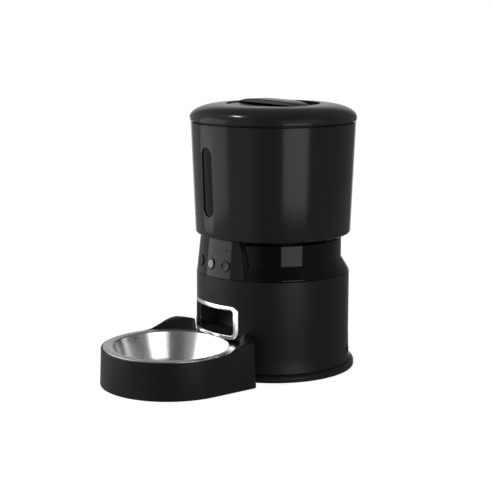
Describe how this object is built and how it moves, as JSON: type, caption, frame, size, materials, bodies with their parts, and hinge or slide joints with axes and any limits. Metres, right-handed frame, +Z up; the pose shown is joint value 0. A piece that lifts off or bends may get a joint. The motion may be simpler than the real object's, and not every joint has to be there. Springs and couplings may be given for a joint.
{
  "type": "automatic pet feeder",
  "caption": "Round barrel pet feeder: lidded food hopper over a drive base with push buttons, and a slide-out tray with a steel bowl.",
  "frame": {"origin": "centre of the whole footprint's box, on the surface that the feeder stands on", "axes": "+Z up; -Y is the front, where the bowl is; +X is the side with the power inlet"},
  "size_m": [0.1928, 0.319, 0.31],
  "materials": {
    "satin_black": "satin injection-moulded plastic with a very fine texture",
    "gloss_black": "polished moulded plastic",
    "panel_black": "polished panel with printed signs",
    "button_black": "glossy dished push button",
    "button_silver": "silvery dished push button",
    "smoked_window": "smoked transparent window",
    "chrome": "bright chrome plate",
    "stainless": "spun and brushed stainless sheet",
    "chute_grey": "dark grey moulded plastic",
    "rotor_grey": "grey food-safe plastic",
    "gear_white": "natural acetal",
    "rubber": "soft non-slip rubber",
    "silicone": "translucent silicone seal",
    "silicone_grey": "soft grey silicone vanes",
    "paper_bag": "non-woven desiccant bag",
    "board_green": "solder mask on a printed board",
    "switch_black": "moulded electrical parts",
    "screw_steel": "zinc-plated screws",
    "motor_steel": "drawn steel can",
    "brass": "cut brass",
    "contact_nickel": "nickel-plated spring contacts",
    "cell_jacket": "dry cell with a plain printed jacket"
  },
  "bodies": {
    "base": {"foot_ring": "satin_black", "base_shell": "satin_black", "base_cover": "satin_black", "base_screws": "screw_steel", "rubber_feet": "rubber", "tray_dock": "satin_black", "mouth_frame": "chrome", "chute": "chute_grey", "outlet_sensor": "gloss_black", "neck_collar": "gloss_black", "control_panel": "panel_black", "button_board": "board_green", "button_switches": "switch_black", "microphone": "motor_steel", "main_board": "board_green", "board_components": "switch_black", "speaker": "switch_black", "power_inlet": "switch_black", "battery_box": "satin_black", "batteries": "cell_jacket", "battery_contacts": "contact_nickel", "motor": "motor_steel", "gearbox_plate": "gear_white", "gearbox_cover": "gear_white", "gearbox_screws": "screw_steel"},
    "battery_door": {"battery_door": "satin_black"},
    "button_left": {"button_left": "button_black"},
    "button_centre": {"button_centre": "button_silver"},
    "button_right": {"button_right": "button_black"},
    "motor_pinion": {"motor_pinion": "brass"},
    "drive_gear": {"drive_gear": "gear_white"},
    "hopper": {"hopper": "satin_black", "hopper_window": "smoked_window", "metering_chamber": "satin_black", "flow_baffle": "satin_black"},
    "rotor": {"metering_rotor": "rotor_grey", "rotor_vanes": "silicone_grey", "rotor_cap": "rotor_grey"},
    "lid": {"lid_shell": "satin_black", "lid_liner": "satin_black", "lid_seal": "silicone", "desiccant_box": "satin_black", "desiccant_bag": "paper_bag"},
    "desiccant_cap": {"desiccant_cap": "rotor_grey"},
    "tray": {"bowl_holder": "satin_black", "steel_bowl": "stainless", "tray_pads": "rubber"}
  },
  "joints": [
    {"name": "lid_lift", "type": "slide", "parent": "hopper", "child": "lid", "axis": [0, 0, 1], "range_m": [0, 0.08]},
    {"name": "hopper_lift", "type": "slide", "parent": "base", "child": "hopper", "axis": [0, 0, 1], "range_m": [0, 0.1]},
    {"name": "rotor_turn", "type": "hinge", "parent": "hopper", "child": "rotor", "pos_m": [0, 0.0631, 0], "axis": [0, 0, 1], "continuous": true},
    {"name": "drive_gear_turn", "type": "hinge", "parent": "base", "child": "drive_gear", "pos_m": [0, 0.0631, 0], "axis": [0, 0, 1], "continuous": true},
    {"name": "motor_pinion_turn", "type": "hinge", "parent": "base", "child": "motor_pinion", "pos_m": [-0.03025, 0.0631, 0], "axis": [0, 0, 1], "continuous": true},
    {"name": "tray_slide", "type": "slide", "parent": "base", "child": "tray", "axis": [0, -1, 0], "range_m": [0, 0.08]},
    {"name": "battery_door_slide", "type": "slide", "parent": "base", "child": "battery_door", "axis": [0, 1, 0], "range_m": [0, 0.04]},
    {"name": "desiccant_cap_pull", "type": "slide", "parent": "lid", "child": "desiccant_cap", "axis": [0, 0, -1], "range_m": [0, 0.02]},
    {"name": "button_left_press", "type": "slide", "parent": "base", "child": "button_left", "axis": [0.2606, 0.9593, -0.1092], "range_m": [0, 0.001], "stiffness_N_per_m": 400},
    {"name": "button_centre_press", "type": "slide", "parent": "base", "child": "button_centre", "axis": [0, 0.994, -0.1092], "range_m": [0, 0.001], "stiffness_N_per_m": 400},
    {"name": "button_right_press", "type": "slide", "parent": "base", "child": "button_right", "axis": [-0.2606, 0.9593, -0.1092], "range_m": [0, 0.001], "stiffness_N_per_m": 400}
  ],
  "couplings": [
    {"joint": "drive_gear_turn", "follows": "rotor_turn", "ratio": 1},
    {"joint": "motor_pinion_turn", "follows": "rotor_turn", "ratio": -3}
  ]
}
